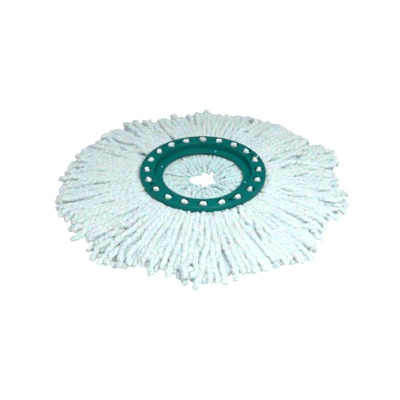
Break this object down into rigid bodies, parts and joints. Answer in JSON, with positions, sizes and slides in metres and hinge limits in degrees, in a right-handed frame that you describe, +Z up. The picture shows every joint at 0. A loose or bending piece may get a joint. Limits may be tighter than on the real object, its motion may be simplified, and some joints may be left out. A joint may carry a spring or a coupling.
{
  "type": "spin mop head",
  "caption": "Round spin mop head: a ring of two snapped plastic hoops holding tufts of microfibre cord that fan out over the floor, with a stepped recess for the mop plate.",
  "frame": {"origin": "on the floor, under the middle of the ring", "axes": "+Z up along the ring's axis; +X and +Y lie along the floor, each in line with a tuft"},
  "size_m": [0.32, 0.32, 0.0216],
  "materials": {
    "ring_plastic": "moulded teal plastic with a soft gloss",
    "carrier_plastic": "moulded teal plastic, hidden under the top ring",
    "microfibre": "fluffy white twisted microfibre cord with a faint cool tint"
  },
  "bodies": {
    "root": {"top_ring": "ring_plastic", "carrier_ring": "carrier_plastic", "long_tuft_01": "microfibre", "short_tuft_01": "microfibre", "long_tuft_02": "microfibre", "short_tuft_02": "microfibre", "long_tuft_03": "microfibre", "short_tuft_03": "microfibre", "long_tuft_04": "microfibre", "short_tuft_04": "microfibre", "long_tuft_05": "microfibre", "short_tuft_05": "microfibre", "long_tuft_06": "microfibre", "short_tuft_06": "microfibre", "long_tuft_07": "microfibre", "short_tuft_07": "microfibre", "long_tuft_08": "microfibre", "short_tuft_08": "microfibre", "long_tuft_09": "microfibre", "short_tuft_09": "microfibre", "long_tuft_10": "microfibre", "short_tuft_10": "microfibre", "long_tuft_11": "microfibre", "short_tuft_11": "microfibre", "long_tuft_12": "microfibre", "short_tuft_12": "microfibre", "long_tuft_13": "microfibre", "short_tuft_13": "microfibre", "long_tuft_14": "microfibre", "short_tuft_14": "microfibre", "long_tuft_15": "microfibre", "short_tuft_15": "microfibre", "long_tuft_16": "microfibre", "short_tuft_16": "microfibre", "long_tuft_17": "microfibre", "short_tuft_17": "microfibre", "long_tuft_18": "microfibre", "short_tuft_18": "microfibre", "long_tuft_19": "microfibre", "short_tuft_19": "microfibre", "long_tuft_20": "microfibre", "short_tuft_20": "microfibre"}
  },
  "joints": []
}
